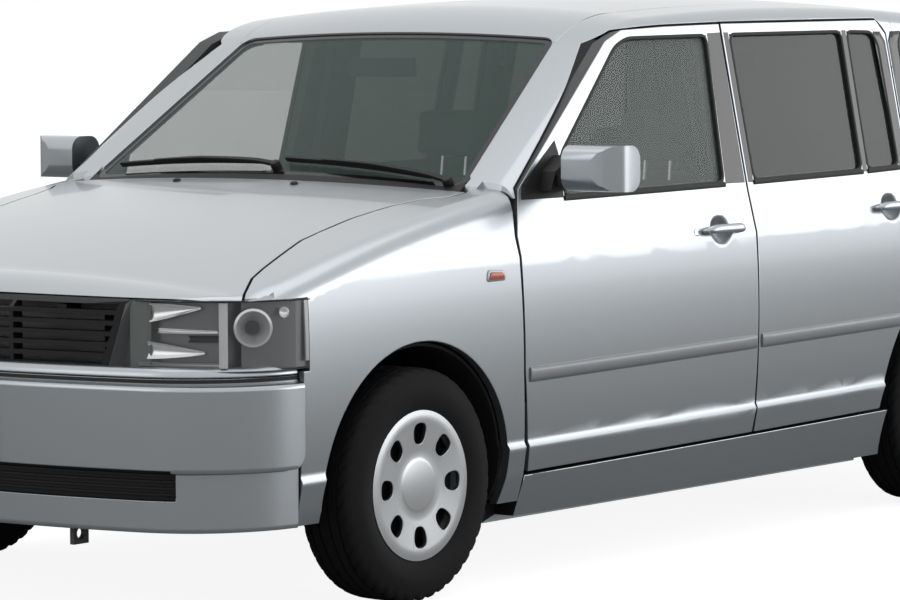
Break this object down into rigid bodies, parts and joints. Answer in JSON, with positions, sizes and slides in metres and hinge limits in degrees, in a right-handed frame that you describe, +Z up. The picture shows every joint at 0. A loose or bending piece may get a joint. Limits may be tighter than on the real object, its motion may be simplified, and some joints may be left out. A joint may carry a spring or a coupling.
{
  "type": "station wagon",
  "caption": "Compact station wagon with opening doors, bonnet, tailgate and fuel lid, steered front wheels, seats and a load space behind them.",
  "frame": {"origin": "on the ground at the middle of the length and width", "axes": "+X forward, +Y to the left side, +Z up"},
  "size_m": [4.2998, 2.052, 1.5103],
  "materials": {
    "body_paint": "metallic gloss",
    "under_paint": "matt",
    "dark_plastic": "matt",
    "trim_plastic": "grained",
    "window_glass": "clear tinted",
    "lamp_clear": "clear gloss",
    "lamp_red": "clear gloss",
    "seat_fabric": "woven",
    "tyre_rubber": "matt",
    "wheel_silver": "satin",
    "cast_metal": "rough",
    "pipe_steel": "dull"
  },
  "bodies": {
    "body": {"b_pillars": "dark_plastic", "bulkhead": "under_paint", "cowl": "dark_plastic", "dashboard": "trim_plastic", "engine": "cast_metal", "exhaust": "pipe_steel", "floor_pan": "under_paint", "front_bumper": "body_paint", "front_fenders": "body_paint", "front_housings": "under_paint", "front_seats": "seat_fabric", "front_structure": "under_paint", "front_suspension": "under_paint", "fuel_tank": "dark_plastic", "grille": "dark_plastic", "headlamps": "lamp_clear", "hinge_pillars": "body_paint", "quarter_glass": "window_glass", "radiator": "cast_metal", "rear_axle": "under_paint", "rear_bumper": "body_paint", "rear_housings": "under_paint", "rear_quarters": "body_paint", "rear_seat": "seat_fabric", "roof": "body_paint", "roof_rails": "body_paint", "sills": "body_paint", "tail_lamps": "lamp_red", "windscreen": "window_glass"},
    "bonnet": {"bonnet": "body_paint"},
    "tailgate": {"tailgate": "body_paint", "tailgate_glass": "window_glass"},
    "fuel_lid": {"fuel_lid": "body_paint"},
    "steering_wheel": {"steering_wheel": "trim_plastic"},
    "knuckle_left": {"knuckle_left": "cast_metal"},
    "knuckle_right": {"knuckle_right": "cast_metal"},
    "door_front_left": {"door_front_left": "body_paint", "glass_front_left": "window_glass", "mirror_left": "dark_plastic"},
    "wheel_front_left": {"wheel_front_left": "wheel_silver", "tyre_front_left": "tyre_rubber"},
    "door_front_right": {"door_front_right": "body_paint", "glass_front_right": "window_glass", "mirror_right": "dark_plastic"},
    "wheel_front_right": {"wheel_front_right": "wheel_silver", "tyre_front_right": "tyre_rubber"},
    "door_rear_left": {"door_rear_left": "body_paint", "glass_rear_left": "window_glass"},
    "wheel_rear_left": {"wheel_rear_left": "wheel_silver", "tyre_rear_left": "tyre_rubber"},
    "door_rear_right": {"door_rear_right": "body_paint", "glass_rear_right": "window_glass"},
    "wheel_rear_right": {"wheel_rear_right": "wheel_silver", "tyre_rear_right": "tyre_rubber"}
  },
  "joints": [
    {"name": "steer_left", "type": "hinge", "parent": "body", "child": "knuckle_left", "pos_m": [1.335, 0.672, 0.185], "axis": [0, -0.185, 0.9827], "range_deg": [-35, 35]},
    {"name": "steer_right", "type": "hinge", "parent": "body", "child": "knuckle_right", "pos_m": [1.335, -0.672, 0.185], "axis": [0, 0.185, 0.9827], "range_deg": [-35, 35]},
    {"name": "steering_turn", "type": "hinge", "parent": "body", "child": "steering_wheel", "pos_m": [0.43, -0.37, 0.85], "axis": [-0.9063, 0, 0.4226], "range_deg": [-525, 525]},
    {"name": "spin_front_left", "type": "hinge", "parent": "knuckle_left", "child": "wheel_front_left", "pos_m": [1.335, 0.74, 0.2915], "axis": [0, 1, 0], "continuous": true},
    {"name": "spin_front_right", "type": "hinge", "parent": "knuckle_right", "child": "wheel_front_right", "pos_m": [1.335, -0.74, 0.2915], "axis": [0, 1, 0], "continuous": true},
    {"name": "spin_rear_left", "type": "hinge", "parent": "body", "child": "wheel_rear_left", "pos_m": [-1.215, 0.73, 0.2915], "axis": [0, 1, 0], "continuous": true},
    {"name": "spin_rear_right", "type": "hinge", "parent": "body", "child": "wheel_rear_right", "pos_m": [-1.215, -0.73, 0.2915], "axis": [0, 1, 0], "continuous": true},
    {"name": "open_door_front_left", "type": "hinge", "parent": "body", "child": "door_front_left", "pos_m": [0.864, 0.822, 0.6], "axis": [0, 0, -1], "range_deg": [0, 65]},
    {"name": "open_door_front_right", "type": "hinge", "parent": "body", "child": "door_front_right", "pos_m": [0.864, -0.822, 0.6], "axis": [0, 0, 1], "range_deg": [0, 65]},
    {"name": "open_door_rear_left", "type": "hinge", "parent": "body", "child": "door_rear_left", "pos_m": [-0.2135, 0.83, 0.6], "axis": [0, 0, -1], "range_deg": [0, 68]},
    {"name": "open_door_rear_right", "type": "hinge", "parent": "body", "child": "door_rear_right", "pos_m": [-0.2135, -0.83, 0.6], "axis": [0, 0, 1], "range_deg": [0, 68]},
    {"name": "open_bonnet", "type": "hinge", "parent": "body", "child": "bonnet", "pos_m": [0.958, 0, 0.975], "axis": [0, -1, 0], "range_deg": [0, 55]},
    {"name": "open_tailgate", "type": "hinge", "parent": "body", "child": "tailgate", "pos_m": [-1.832, 0, 1.424], "axis": [0, 1, 0], "range_deg": [0, 85]},
    {"name": "open_fuel_lid", "type": "hinge", "parent": "body", "child": "fuel_lid", "pos_m": [-1.427, -0.818, 0.76], "axis": [0, 0, 1], "range_deg": [0, 80]}
  ],
  "couplings": [
    {"joint": "steer_right", "follows": "steer_left", "ratio": 1},
    {"joint": "steering_turn", "follows": "steer_left", "ratio": 15}
  ]
}
